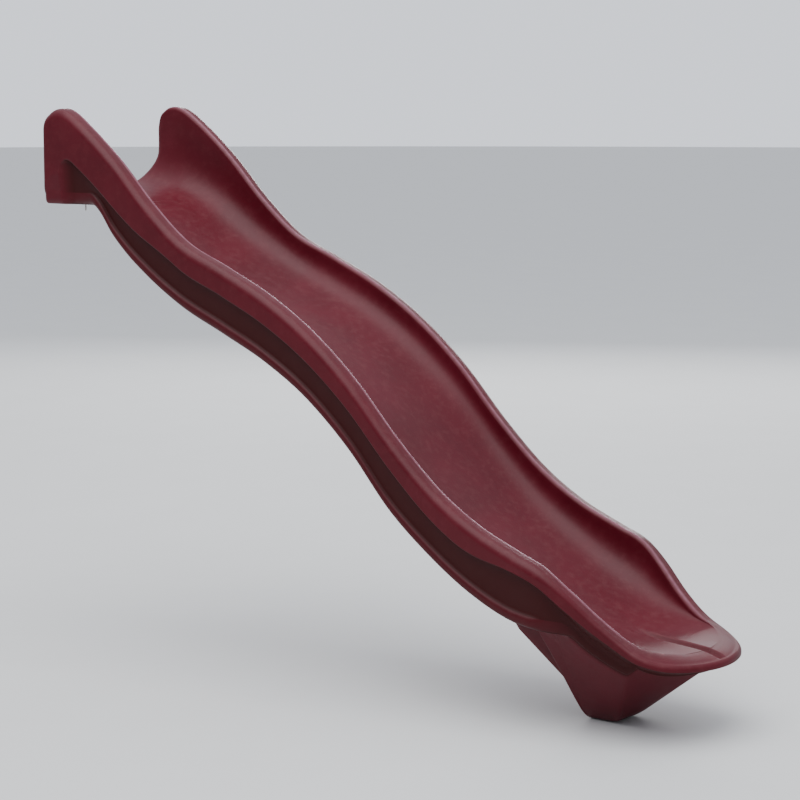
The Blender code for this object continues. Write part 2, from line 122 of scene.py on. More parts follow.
BASE_PANEL = 0.022          # depth of the recess along the underside
BASE_PANEL_HALF = (0.215, 0.250)    # from its flat part's edge to its own edge

# Where along the slide the section changes, as from and to.
REAR_NARROWS = (0.0, 0.20)      # the rim loses its extra width behind
FACE_LOWERS = (0.30, 0.60)      # the side face goes from FACE_ENTRY to FACE
POWER_EASES = (0.15, 0.60)      # the channel gets rounder
BEAD_STARTS, BEAD_ENDS = (0.12, 0.26), (1.98, 2.06)
PANEL_STARTS, PANEL_ENDS = (0.30, 0.42), (1.62, 1.76)       # the recess along the underside
KNEE = (1.72, 1.98)             # the side face goes on to FACE_KNEE
RIM_NARROWS = (2.00, 2.10)
ROLL_SHRINKS = (2.00, 2.12)
UNDERCUT = (2.02, 2.18)         # the lower wall draws back under the run-out's lip
EXIT = (2.08, 2.30)             # the side face goes on to FACE_EXIT
SIDES_OPEN = (2.18, 2.40)       # the inner wall flattens into the open end
INNER_EDGE_ENDS = (2.22, 2.42)
# the painted highlight on the rim's inner edge fades out over this stretch
RIM_HIGHLIGHT_ENDS = (2.22, 2.36)
TOP_TILTS = (2.25, 2.40)
RIM_WIDENS = (2.30, 2.45)

# Foot: a hollow pedestal that flares upward from a small flat pad on the ground.
PAD_REAR, PAD_FRONT, PAD_HALF = 2.045, 2.160, 0.068
FOOT_NOSE_FLARE = 1.30      # forward metres per metre of height, along the front's middle
FOOT_CORNER_FLARE = 0.57    # the same along the front's corners
FOOT_REAR_FLARE = 0.20
FOOT_SIDE_FLARE = 0.587     # sideways metres per metre of height, at the foot's rear wall
FOOT_SIDE_GROWTH = 0.40     # by how much that flare grows per metre forward
FOOT_ROUND = 0.045          # how softly the walls turn into the pad
FOOT_CORNER_ROUND = 0.010   # and into each other, at the front corners
BASE_ROUND = 0.008          # and into the base
GUSSET_HALF = 0.075
GUSSET_LOW = (2.050, 0.058)
GUSSET_SLOPE = 0.755
GUSSET_SIDE = 0.25          # sideways metres per metre of height
GUSSET_TURN_UP = 1.80       # from here back its lower edge curves up to the base
GUSSET_END_SLOPE = 8.0      # how steeply it ends inside the foot

# Openings, and the drain channel in the run-out's bed
WELL_BORE = 0.0130
WELL_CUT = 0.10             # how far over the deck the wells' cutters reach
DRAIN_X = 2.066             # in the foot pad
DRAIN_RADIUS = 0.0060
DRAIN_CUT = (-0.010, 0.030)     # from and to which height its cutter reaches
CHANNEL_START, CHANNEL_DEEP, CHANNEL_END = 2.150, 2.250, 2.458
CHANNEL_HALF = 0.024
CHANNEL_FLOOR = 0.45        # the share of its half width that is flat
CHANNEL_DEPTH = 0.013

# The rounded rear end, drawn in towards the middle line of the flange and the wings
END_ROUND = 0.016
FLANGE_DRAW, WING_DRAW = 0.0060, 0.0240     # how far flange and wings are drawn in
DRAW_LIMIT = 0.85           # the most of the way to the middle line
WING_START = 0.270          # from here out the wing's amount takes over
LEAN_HEIGHTS = (0.045, 0.165)       # over the deck: below the first the sitting lip reaches fully back
LEAN_LENGTH = 0.16          # the length over which the sections are swept back
LEAN_HALF = (0.250, 0.300)  # and the half width over which the sweep ends
CORE_LIFT = 0.022           # height of the flange's middle line over the deck
CORE_BEND = 0.060           # height at which that line has turned up into the wing
CORE_HALF, CORE_WING = 0.282, 0.293     # where the line leaves the flange, and where it runs up the wing
CORE_TOP = 0.032            # where it ends below the wing's top

# How finely the skin is divided
FLAT_STEPS = np.array([0.0, 0.018, 0.036, 0.054, 0.072, 0.09, 0.108, 0.126, 0.146, 0.168, 0.195,
                       0.225, 0.26, 0.30, 0.34, 0.38, 0.42, 0.46, 0.50, 0.54, 0.58, 0.62])
STEEP_STEPS = 26
INNER_STEPS = 7
TOP_STEPS = 8
ROLL_STEPS = 12
FACE_STEPS = 4
CORNER_STEPS = 5
WALL_STEPS = 6
UNDER_PARTS = (4, 6, 5, 5, 3)
END_TURNS = 8
CAP_ROWS = 6
BORE_SIDES = 48
SPANS = (                   # from, to and spacing of the sections, close where the shape turns quickly
    (REAR_X + END_ROUND + 0.004, 0.094, 0.006),
    (0.094, 0.112, 0.0015),
    (0.112, 0.150, 0.004),
    (0.150, 0.42, 0.008),
    (0.42, 1.95, 0.013),
    (1.95, PAD_REAR - 0.014, 0.003),
    (PAD_REAR - 0.014, PAD_REAR + 0.010, 0.0015),
    (PAD_REAR + 0.010, TIP_CENTRE, 0.0055),
)

# Marks that the skin carries for its material: the recessed lower wall, where shade is painted and the
# surface is rougher, and the rim's inner edge, where a highlight is painted
MARKS = ("recess", "rim_highlight")
BEAD_RECESS = 0.45          # how far the bead counts as part of the recess, and so how much painted shade it takes
RIM_HIGHLIGHT_EDGE = (0.25, 0.6, 1.0, 1.0, 0.7, 0.3)     # strength of the painted highlight across the rim's inner edge, from the bed outward
RIM_HIGHLIGHT_LEAD = 4               # how many of these points come before the rim's flat top


# ---------------------------------------------------------------- curves
def smooth_curve(knots):
    """A smooth cubic through the knots, level at its peaks and flats, as a function of x."""
    xs = np.array([k[0] for k in knots])
    zs = np.array([k[1] for k in knots])
    step = np.diff(xs)
    slope = np.diff(zs) / step
    tangent = np.empty_like(xs)
    tangent[0] = slope[0]
    tangent[-1] = slope[-1]
    tangent[1:-1] = (slope[:-1] * step[1:] + slope[1:] * step[:-1]) / (step[:-1] + step[1:])
    tangent[1:-1][slope[:-1] * slope[1:] <= 0.0] = 0.0

    def curve(x):
        x = np.clip(x, xs[0], xs[-1])
        i = np.clip(np.searchsorted(xs, x, side="right") - 1, 0, len(step) - 1)
        t = (x - xs[i]) / step[i]
        a = (2 * t**3 - 3 * t**2 + 1) * zs[i] + (t**3 - 2 * t**2 + t) * step[i] * tangent[i]
        b = (3 * t**2 - 2 * t**3) * zs[i + 1] + (t**3 - t**2) * step[i] * tangent[i + 1]
        return a + b

    return curve


def ease(low, high, x):
    """0 below low, 1 above high, smooth between."""
    t = np.clip((x - low) / (high - low), 0.0, 1.0)
    return t * t * (3.0 - 2.0 * t)


def mix(a, b, t):
    return a + (b - a) * t


rim_z = smooth_curve(RIM_PROFILE)
bed_z = smooth_curve(BED_PROFILE)
base_z = smooth_curve(BASE_PROFILE)


def soft_min(a, b, radius):
    """The lower of a and b, with the corner rounded over about radius."""
    h = np.clip(0.5 + 0.5 * (b - a) / radius, 0.0, 1.0)
    return mix(b, a, h) - radius * h * (1.0 - h)


def soft_max(a, b, radius):
    return -soft_min(-a, -b, radius)


def gusset_z(x):
    """Lower edge of the gusset that runs back and up from the foot to the base."""
    turn_up = 2.0 * np.clip(GUSSET_TURN_UP - x, 0.0, 1.0) ** 1.3
    return GUSSET_LOW[1] + (GUSSET_LOW[0] - x) * GUSSET_SLOPE + turn_up


def side_flare(x):
    """How far the foot's side wall leans out per metre of height, at a place along it."""
    return FOOT_SIDE_FLARE + FOOT_SIDE_GROWTH * np.clip(x - PAD_REAR, 0.0, 0.35)


def front_height(x, y):
    """Height of the foot's front: a prow from the pad's front edge, lowest along the middle."""
    ahead = np.maximum(x - PAD_FRONT, 0.0)
    flare = side_flare(x)
    spread = FOOT_NOSE_FLARE - FOOT_CORNER_FLARE
    half_b = 0.5 * (FOOT_NOSE_FLARE * PAD_HALF - spread * y - ahead * flare)
    a = flare * FOOT_NOSE_FLARE
    height = (np.sqrt(half_b**2 + a * ahead * PAD_HALF) - half_b) / a
    return np.where(x > PAD_FRONT, height, (x - PAD_FRONT) / FOOT_NOSE_FLARE)


def under_z(x, y):
    """Height of the underside: the plain base, the rear gusset and the foot, whichever is lowest."""
    y = np.abs(y)
    panel = BASE_PANEL * ease(*PANEL_STARTS, x) * (1.0 - ease(*PANEL_ENDS, x))
    base = base_z(x) + panel * (1.0 - ease(*BASE_PANEL_HALF, y))
    side = (y - PAD_HALF) / side_flare(x)
    front = front_height(x, y)
    rear = (PAD_REAR - x) / FOOT_REAR_FLARE
    foot = soft_max(np.maximum(soft_max(side, front, FOOT_CORNER_ROUND), rear), 0.0 * x, FOOT_ROUND)
    web = gusset_z(x) + np.clip(y - GUSSET_HALF, 0.0, 1.0) / GUSSET_SIDE
    web = web + np.clip(x - PAD_REAR, 0.0, 1.0) * GUSSET_END_SLOPE
    return np.maximum(soft_min(base, np.minimum(foot, web), BASE_ROUND), 0.0)


def channel(x, y):
    """Depth of the drain channel at a place on the bed."""
    ahead = np.clip(x - CHANNEL_END, 0.0, 1.0)
    away = np.hypot(ahead, y)
    across = 1.0 - ease(CHANNEL_FLOOR * CHANNEL_HALF, CHANNEL_HALF, away)
    return CHANNEL_DEPTH * across * ease(CHANNEL_START, CHANNEL_DEEP, x)


# ---------------------------------------------------------------- one section
def outline(station):
    """Outline point, outward normal and centre-line x; past TIP_CENTRE a unit is the tip's quarter turn."""
    if station <= TIP_CENTRE:
        here, ahead = ease(TAPER_START, TIP_CENTRE, np.array([station, station + SMALL_STEP]))
        half = mix(HALF_WIDTH, TIP_HALF_WIDTH, here)
        slope = (TIP_HALF_WIDTH - HALF_WIDTH) * (ahead - here) / SMALL_STEP
        length = math.hypot(1.0, slope)
        return (station, half), (-slope / length, 1.0 / length), station
    phi = (station - TIP_CENTRE) * math.pi / 2.0
    point = (TIP_CENTRE + TIP_LENGTH * math.sin(phi), TIP_HALF_WIDTH * math.cos(phi))
    nx = math.sin(phi) / TIP_LENGTH
    ny = math.cos(phi) / TIP_HALF_WIDTH
    length = math.hypot(nx, ny)
    return point, (nx / length, ny / length), TIP_CENTRE + BED_END_REACH * (station - TIP_CENTRE)


def rounded_corner(before, corner, after, radius):
    """Points of a smooth bend that replaces a corner."""
    back = before - corner
    on = after - corner
    back_length = np.linalg.norm(back) + 1e-9
    on_length = np.linalg.norm(on) + 1e-9
    start = corner + back * min(radius / back_length, CORNER_SHARE)
    end = corner + on * min(radius / on_length, CORNER_SHARE)
    t = np.linspace(0.0, 1.0, CORNER_STEPS)[:, None]
    return (1 - t) ** 2 * start + 2 * t * (1 - t) * corner + t**2 * end


def under_columns(x, edge):
    """Cross positions of the underside's columns, edge to middle, on the foot's and gusset's corners."""
    base = float(base_z(x))
    rear = (PAD_REAR - x) / FOOT_REAR_FLARE
    web = min(rear, base) - float(gusset_z(x))
    meet = GUSSET_HALF + GUSSET_SIDE * max(web, 0.0)
    if rear > base:
        meet = max(meet, GUSSET_HALF + 0.02)
        keys = (edge, mix(meet, edge, 0.66), mix(meet, edge, 0.33), meet, GUSSET_HALF, 0.0)
    else:
        flare = float(side_flare(x))
        ahead = max(x - PAD_FRONT, 0.0)
        corner = PAD_HALF + flare * max(ahead / FOOT_CORNER_FLARE, rear)
        top = PAD_HALF + flare * base
        if corner > top:
            top *= max(FOOT_NOSE_FLARE - ahead / base, 0.0) / (FOOT_NOSE_FLARE - FOOT_CORNER_FLARE)
            corner = 0.5 * top
        top = min(max(top, corner + 0.02), 0.90 * edge)
        corner = min(corner, top - 0.01)
        if web > 0.0:
            keys = (edge, top, corner, min(max(meet, GUSSET_HALF + 0.004), corner - 0.004), GUSSET_HALF, 0.0)
        else:
            keys = (edge, top, corner, 0.66 * corner, 0.33 * corner, 0.0)
    columns = []
    for a, b, parts in zip(keys, keys[1:], UNDER_PARTS):
        columns.extend(np.linspace(a, b, parts + 1)[1:])
    return np.array(columns)


def bed_points(centre, inner, height, power, open_end):
    """The bed from its middle up the inner wall, where inner is the wall's place in plan."""
    first = math.asin(FLAT_STEPS[-1] ** (power / 2.0))
    theta = np.linspace(first, math.pi / 2.0, STEEP_STEPS + 1)[1:]
    t = np.concatenate([FLAT_STEPS, np.sin(theta) ** (2.0 / power)])
    x = mix(centre, inner[0], t)
    y = inner[1] * t
    lift = 1.0 - np.clip(1.0 - t**power, 0.0, 1.0) ** (1.0 / power)
    lift = height * mix(lift, t**RAMP_POWER, open_end)
    return np.stack([x, y, bed_z(x) + lift - channel(x, y)], axis=1)


def side_chain(top, face_low, low, inset, undercut, bead):
    """The outside from the rolled edge down to the bottom edge, as distances in and heights."""
    step = min(PANEL_STEP + LIP_STEP * undercut, STEP_SHARE * max(face_low - low, 0.0))
    drop = max(face_low - step - low, WALL_LEAST)
    bead_heights = (BEAD_TOP, BEAD_CREST, BEAD_FOOT)
    bead_top, bead_crest, bead_foot = (low + min(h, s * drop) for h, s in zip(bead_heights, BEAD_SHARES))
    wall = inset + WALL_LEAN
    spots = np.array([
        (0.0, top),
        (0.0, face_low),
        (inset, face_low - step),
        (wall, bead_top),
        (wall - bead, bead_crest),
        (wall - bead + BEAD_LEAN, bead_foot),
        (inset + EDGE_INSET, low),
        (inset + EDGE_INSET + EDGE_RUN, low),
    ])
    chain = [spots[0] + (spots[1] - spots[0]) * np.linspace(0.0, 0.9, FACE_STEPS + 1)[1:, None]]
    for i, radius in enumerate(SIDE_ROUNDS, start=1):
        chain.append(rounded_corner(*spots[i - 1:i + 2], radius))
        if i == 2:
            chain.append(spots[2] + (spots[3] - spots[2]) * np.linspace(0.0, 1.0, WALL_STEPS + 2)[1:-1, None])
    chain = np.concatenate(chain)
    return chain[np.argsort(-chain[:, 1], kind="stable")]


def hook_drop(x):
    """How far the rounded corner at the start of the recessed wall lowers the side face's edge."""
    left = min(max(HOOK_X + HOOK_RADIUS - x, 0.0), HOOK_RADIUS)
    return HOOK_RADIUS - math.sqrt(HOOK_RADIUS**2 - left**2)


def section(station):
    """Half of the closed section at a station, from the bed's middle over the rim to the base's middle.

    Each point is x, y, z and the two marks: the recess mark for the lower wall, where shade is painted, and
    the mark for the painted highlight along the rim's inner edge.
    """
    (ox, oy), (nx, ny), centre = outline(station)
    rim_width = mix(RIM_WIDTH, RIM_WIDTH_EXIT, ease(*RIM_NARROWS, ox)) + RIM_EXTRA_TIP * ease(*RIM_WIDENS, ox)
    rim_width += RIM_EXTRA_REAR * (1.0 - ease(*REAR_NARROWS, ox))
    ix, iy = ox - nx * rim_width, oy - ny * rim_width
    rise = max(float(rim_z(ix) - bed_z(ix)), 0.0)
    inner_radius = min(INNER_EDGE, INNER_EDGE_SHARE * rise) * (1.0 - float(ease(*INNER_EDGE_ENDS, ox)))
    roll = mix(ROLL, ROLL_EXIT, ease(*ROLL_SHRINKS, ox))
    slope_drop = mix(TOP_SLOPE, TOP_SLOPE_TIP, ease(*TOP_TILTS, ox))
    face = mix(mix(FACE_ENTRY, FACE, ease(*FACE_LOWERS, ox)), FACE_KNEE, ease(*KNEE, ox))
    face = mix(face, FACE_EXIT, ease(*EXIT, ox))
    undercut = float(ease(*UNDERCUT, ox))
    inset = PANEL_INSET * float(ease(HOOK_X, HOOK_X + HOOK_BLEND, ox)) + LIP_INSET * undercut
    bead = BEAD * float(1.0 - ease(*BEAD_ENDS, ox)) * float(ease(*BEAD_STARTS, ox))
    power = mix(BED_POWER_ENTRY, BED_POWER, float(ease(*POWER_EASES, ox)))
    open_end = float(ease(*SIDES_OPEN, ox))

    def place(d):
        """Points at distances d in from the outline, with their heights still to be set."""
        return np.stack([ox - nx * d, oy - ny * d, 0.0 * d], axis=1)

    bed = bed_points(centre, (ix, iy), rise - inner_radius, power, open_end)

    # over the rim: its rounded inner edge, its top and its rolled outer edge
    a = np.radians(np.linspace(0.0, 90.0, INNER_STEPS + 1)[1:])
    inner = place(rim_width - inner_radius * (1.0 - np.cos(a)))
    inner[:, 2] = rim_z(inner[:, 0]) - inner_radius * (1.0 - np.sin(a))
    s = np.linspace(0.0, 1.0, TOP_STEPS + 1)[1:-1]
    top = place(mix(rim_width - inner_radius, roll, s))
    top[:, 2] = rim_z(top[:, 0]) - slope_drop * s ** mix(1.0, 2.0, open_end)
    for points in (inner, top):
        points[:, 2] -= channel(points[:, 0], points[:, 1])
    a = np.radians(np.linspace(90.0, 0.0, ROLL_STEPS))
    outer = place(roll * (1.0 - np.cos(a)))
    outer[:, 2] = rim_z(outer[:, 0]) - slope_drop - roll * (1.0 - np.sin(a))

    # down the outside to the bottom edge
    foot_x, foot_y = ox - nx * (inset + EDGE_INSET), oy - ny * (inset + EDGE_INSET)
    low = float(under_z(foot_x, foot_y))
    face_low = float(rim_z(ox)) - face - hook_drop(ox)
    chain = side_chain(float(outer[-1, 2]), face_low, low, inset, undercut, bead)
    side = place(chain[:, 0])
    side[:, 2] = chain[:, 1]

    # underside
    edge = max(float(side[-1, 1]), 0.001)
    columns = under_columns(mix(centre, foot_x, 0.5), max(edge, 0.05)) * (edge / max(edge, 0.05))
    x = mix(centre, side[-1, 0], columns / edge)
    under = np.stack([x, columns, under_z(x, columns)], axis=1)

    # marks: painted shade on the recessed lower wall, less of it on the bead, and a painted highlight on the
    # rim's inner edge
    points = np.concatenate([bed, inner, top, outer, side, under])
    side_start = len(points) - len(under) - len(side)
    recess_start = side_start + FACE_STEPS + CORNER_STEPS // 2
    bead_start = side_start + FACE_STEPS + 3 * CORNER_STEPS + WALL_STEPS
    # painted shade over the recessed lower wall, a share of it on the bead
    recess = np.zeros(len(points))
    recess[recess_start:side_start + len(side)] = 1.0
    recess[bead_start:bead_start + 2 * CORNER_STEPS] = mix(BEAD_RECESS, 1.0, undercut)
    recess *= ease(HOOK_X, HOOK_X + HOOK_BLEND, ox)
    # painted highlight along the rim's inner edge, fading out towards the tip
    rim_highlight_start = len(bed) + INNER_STEPS - RIM_HIGHLIGHT_LEAD
    rim_highlight = np.zeros(len(points))
    rim_highlight[rim_highlight_start:rim_highlight_start + len(RIM_HIGHLIGHT_EDGE)] = RIM_HIGHLIGHT_EDGE
    rim_highlight *= 1.0 - ease(*RIM_HIGHLIGHT_ENDS, ox)
    return np.column_stack([points, recess, rim_highlight])


# ---------------------------------------------------------------- the rear end
def toward_core(points, amount, wing_amount):
    """Draws a section in towards its own middle line, for a rounded end."""
    y, z = points[:, 1], points[:, 2]
    flange = DECK_TOP + CORE_LIFT
    top = z.max() - CORE_TOP
    core = np.array([(0.0, flange), (CORE_HALF, flange), (CORE_WING, DECK_TOP + CORE_BEND), (CORE_WING, top)])
    best = np.full(len(points), 1e9)
    target = np.zeros((len(points), 2))
    spot = np.stack([y, z], axis=1)
    for a, b in zip(core, core[1:]):
        span = b - a
        t = np.clip(((spot - a) @ span) / (span @ span), 0.0, 1.0)
        near = a + t[:, None] * span
        distance = np.hypot(*(spot - near).T)
        closer = distance < best
        best = np.where(closer, distance, best)
        target[closer] = near[closer]
    share = mix(amount, wing_amount, ease(WING_START, HALF_WIDTH, y))
    move = np.minimum(share, DRAW_LIMIT * best) / np.maximum(best, 1e-9)
    moved = points.copy()
    moved[:, 1] += (target[:, 0] - y) * move
    moved[:, 2] += (target[:, 1] - z) * move
    moved[0, 1] = 0.0
    moved[-1, 1] = 0.0
    return moved


def lean_back(points):
    """Sweeps the entry's rear edge back below the wings, to the sitting lip."""
    low = 1.0 - ease(*LEAN_HEIGHTS, points[:, 2] - DECK_TOP)
    near = 1.0 - ease(REAR_X, REAR_X + LEAN_LENGTH, points[:, 0])
    middle = 1.0 - ease(*LEAN_HALF, points[:, 1])
    points = points.copy()
    points[:, 0] -= LIP_REACH * low * near * middle
    return points


def stations():
    """Stations past the rounded rear end, down the slide and round its tip."""
    straight = [np.arange(*span) for span in SPANS]
    tip = [TIP_CENTRE + np.linspace(0.0, 0.85, 42)[:-1], TIP_CENTRE + np.linspace(0.85, 1.0, 26)]
    return np.concatenate(straight + tip)


def slide_grid():
    """All sections of one half, rear end first, as rows of points."""
    rows = []
    for turn in np.linspace(0.0, math.pi / 2.0, END_TURNS):
        back = END_ROUND * (1.0 - math.cos(turn))
        draw = 1.0 - math.sin(turn)
        points = section(REAR_X + back)
        points = toward_core(points, FLANGE_DRAW * draw, WING_DRAW * draw)
        rows.append(lean_back(points))
    for station in stations():
        rows.append(lean_back(section(float(station))))
    return np.array(rows)


def rear_cap(ring):
    """Rows of points between the upper and the lower half of the rear end's ring."""
    count = len(ring) // 2
    upper = ring[:count]
    lower = ring[::-1][:count]
    rows = []
    for share in np.linspace(0.0, 1.0, CAP_ROWS + 2)[1:-1]:
        flat = mix(upper, lower, share)
        flat[:, 0] = REAR_X
        rows.append(lean_back(flat))
    return rows


class Skin:
    """A closed mesh in the making: faces share their corners and keep their places on the UV map."""

    def __init__(self):
        self.bm = bmesh.new()
        for mark in MARKS:
            self.bm.verts.layers.float.new(mark)
        self.layers = [self.bm.verts.layers.float[mark] for mark in MARKS]
        self.made = {}
        self.faces = []

    def vert(self, point, sign):
        """The vertex at a section's point, or at its mirror image."""
        x, y, z = float(point[0]), sign * float(point[1]), float(point[2])
        key = (round(x, 6), round(y, 6), round(z, 6))
        if key not in self.made:
            self.made[key] = self.bm.verts.new((x + SHIFT_X, y, z))
            for layer, amount in zip(self.layers, point[3:]):
                self.made[key][layer] = float(amount)
        return self.made[key]

    def face(self, corners, spots, flip):
        """One face, unless its corners fall together; flip turns it over."""
        if flip:
            corners, spots = corners[::-1], spots[::-1]
        unique = list(dict.fromkeys(corners))
        if len(unique) >= 3 and self.bm.faces.get(unique) is None:
            self.faces.append((self.bm.faces.new(unique), dict(zip(corners, spots))))

    def finish(self, name):
        uv = self.bm.loops.layers.uv.new("run")
        for face, spots in self.faces:
            for loop in face.loops:
                loop[uv].uv = spots[loop.vert]
        bmesh.ops.recalc_face_normals(self.bm, faces=self.bm.faces)
        mesh = bpy.data.meshes.new(name)
        self.bm.to_mesh(mesh)
        self.bm.free()
        return mesh


def lengths(points):
    """Distance along a line of points, at each of them."""
    steps = np.linalg.norm(np.diff(points[:, :3], axis=0), axis=1)
    return np.concatenate([[0.0], np.cumsum(steps)])


def close_rear(skin, ring, verts, across, sign):
    """Closes half of the rear end, whose ring has an odd number of points, the middle one at the wing."""
    half = len(ring) // 2
    inner = [[skin.vert(point[:3], sign) for point in row] for row in rear_cap(ring)]
    cap = [verts[:half]] + inner + [verts[::-1][:half]]
    for r in range(len(cap) - 1):
        for i in range(half - 1):
            corners = [cap[r][i], cap[r][i + 1], cap[r + 1][i + 1], cap[r + 1][i]]
            u, v = (-0.01 * r, -0.01 * (r + 1)), (sign * across[i], sign * across[i + 1])
            skin.face(corners, [(u[0], v[0]), (u[0], v[1]), (u[1], v[1]), (u[1], v[0])], sign < 0.0)
    loop = [row[half - 1] for row in cap] + [verts[half]]
    skin.face(loop, [(0.0, sign * across[half])] * len(loop), sign > 0.0)


def slide_skin():
    """The whole skin as one closed mesh, with the run along and the way across kept as its UV map."""
    grid = slide_grid()
    grid[-1, :, 1] = 0.0
    rows, count = grid.shape[:2]
    along = lengths(grid[:, 0])
    across = lengths(grid[rows // 2])
    skin = Skin()
    for sign in (1.0, -1.0):
        verts = [[skin.vert(point, sign) for point in row] for row in grid]
        for r in range(rows - 1):
            for i in range(count - 1):
                corners = [verts[r][i], verts[r + 1][i], verts[r + 1][i + 1], verts[r][i + 1]]
                u, v = (along[r], along[r + 1]), (sign * across[i], sign * across[i + 1])
                skin.face(corners, [(u[0], v[0]), (u[1], v[0]), (u[1], v[1]), (u[0], v[1])], sign < 0.0)
        close_rear(skin, grid[0], verts[0], across, sign)
    return skin.finish("slide_skin")


def fit_to_box(mesh, low, high):
    """Scales the fine skin onto the CAD node's own box."""
    co = np.zeros(len(mesh.vertices) * 3)
    mesh.vertices.foreach_get("co", co)
    co = co.reshape(-1, 3)
    low, high = np.array(low), np.array(high)
    have_low, have_high = co.min(0), co.max(0)
    co = low + (co - have_low) * (high - low) / (have_high - have_low)
    mesh.vertices.foreach_set("co", co.ravel())
    mesh.update()


def link(obj):
    bpy.context.scene.collection.objects.link(obj)
    return obj


def bore_cutters():
    """The cutters of the three screw wells and the drain hole."""
    bores = []
    for side in ("left", "middle", "right"):
        low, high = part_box("deck_washer_" + side)
        middle = 0.5 * (low.x + high.x), 0.5 * (low.y + high.y)
        bores.append((*middle, WELL_BORE, low.z - GAP, DECK_TOP + WELL_CUT))
    bores.append((DRAIN_X + SHIFT_X, 0.0, DRAIN_RADIUS, *DRAIN_CUT))
    bm = bmesh.new()
    for x, y, radius, low, high in bores:
        cone = bmesh.ops.create_cone(bm, cap_ends=True, segments=BORE_SIDES, radius1=radius, radius2=radius,
                                     depth=high - low)
        bmesh.ops.translate(bm, verts=cone["verts"], vec=(x, y, 0.5 * (low + high)))
    mesh = bpy.data.meshes.new("bores")
    bm.to_mesh(mesh)
    bm.free()
    return link(bpy.data.objects.new("bores", mesh))


def cut_bores(obj):
    """Cuts the screw wells and the drain hole."""
    cutters = bore_cutters()
    cut = obj.modifiers.new("Bores", "BOOLEAN")
    cut.operation = "DIFFERENCE"
    cut.solver = "EXACT"
    cut.object = cutters
    bpy.context.view_layer.update()
    done = bpy.data.meshes.new_from_object(obj.evaluated_get(bpy.context.evaluated_depsgraph_get()))
    obj.modifiers.clear()
    obj.data = done
    bpy.data.objects.remove(cutters, do_unlink=True)


# ---------------------------------------------------------------- materials
class Nodes:
    """A short way to build the nodes of a new material or world; noise scales are per metre."""

    def __init__(self, owner, shader="Principled BSDF"):
        owner.use_nodes = True
        self.owner = owner
        self.tree = owner.node_tree
        self.shader = self.tree.nodes[shader]

    def add(self, kind, inputs=None, **settings):
        node = self.tree.nodes.new(kind)
        for key, value in settings.items():
            setattr(node, key, value)
        for key, value in (inputs or {}).items():
            self.put(node.inputs[key], value)
        return node

    def put(self, socket, value):
        if isinstance(value, bpy.types.NodeSocket):
            self.tree.links.new(value, socket)
        else:
            socket.default_value = value

    def noise(self, vector, scale, detail, roughness):
        node = self.add("ShaderNodeTexNoise", {"Scale": scale, "Detail": detail, "Roughness": roughness})
        self.put(node.inputs["Vector"], vector)
        return node.outputs["Fac"]

    def ramp(self, value, low, high, to_low=0.0, to_high=1.0):
        ends = {"From Min": low, "From Max": high, "To Min": to_low, "To Max": to_high}
        node = self.add("ShaderNodeMapRange", ends, clamp=True)
        self.put(node.inputs["Value"], value)
        return node.outputs["Result"]

    def math(self, operation, a, b):
        node = self.add("ShaderNodeMath", operation=operation)
        self.put(node.inputs[0], a)
        self.put(node.inputs[1], b)
        return node.outputs[0]

    def blend(self, a, b, share):
        node = self.add("ShaderNodeMix", data_type="RGBA")
        self.put(node.inputs[0], share)
        self.put(node.inputs[6], a)
        self.put(node.inputs[7], b)
        return node.outputs[2]

    def mapped(self, vector, scale):
        node = self.add("ShaderNodeMapping")
        node.inputs["Scale"].default_value = scale
        self.put(node.inputs["Vector"], vector)
        return node.outputs["Vector"]

    def bump(self, height, distance, strength, normal=None):
        node = self.add("ShaderNodeBump", {"Distance": distance, "Strength": strength})
        self.put(node.inputs["Height"], height)
        if normal is not None:
            self.put(node.inputs["Normal"], normal)
        return node.outputs["Normal"]


BURGUNDY = (0.090, 0.0042, 0.0110, 1.0)
BURGUNDY_DEEP = (0.074, 0.0032, 0.0085, 1.0)
BURGUNDY_SHADED = (0.036, 0.0010, 0.0012, 1.0)      # painted shade on the recessed lower wall
BURGUNDY_CHALKY = (0.205, 0.048, 0.056, 1.0)        # blotches, specks, scratches and edges
BURGUNDY_RIM_HIGHLIGHT = (0.260, 0.105, 0.140, 1.0)          # painted highlight along the rim's inner edge
DUST = (0.30, 0.245, 0.215, 1.0)


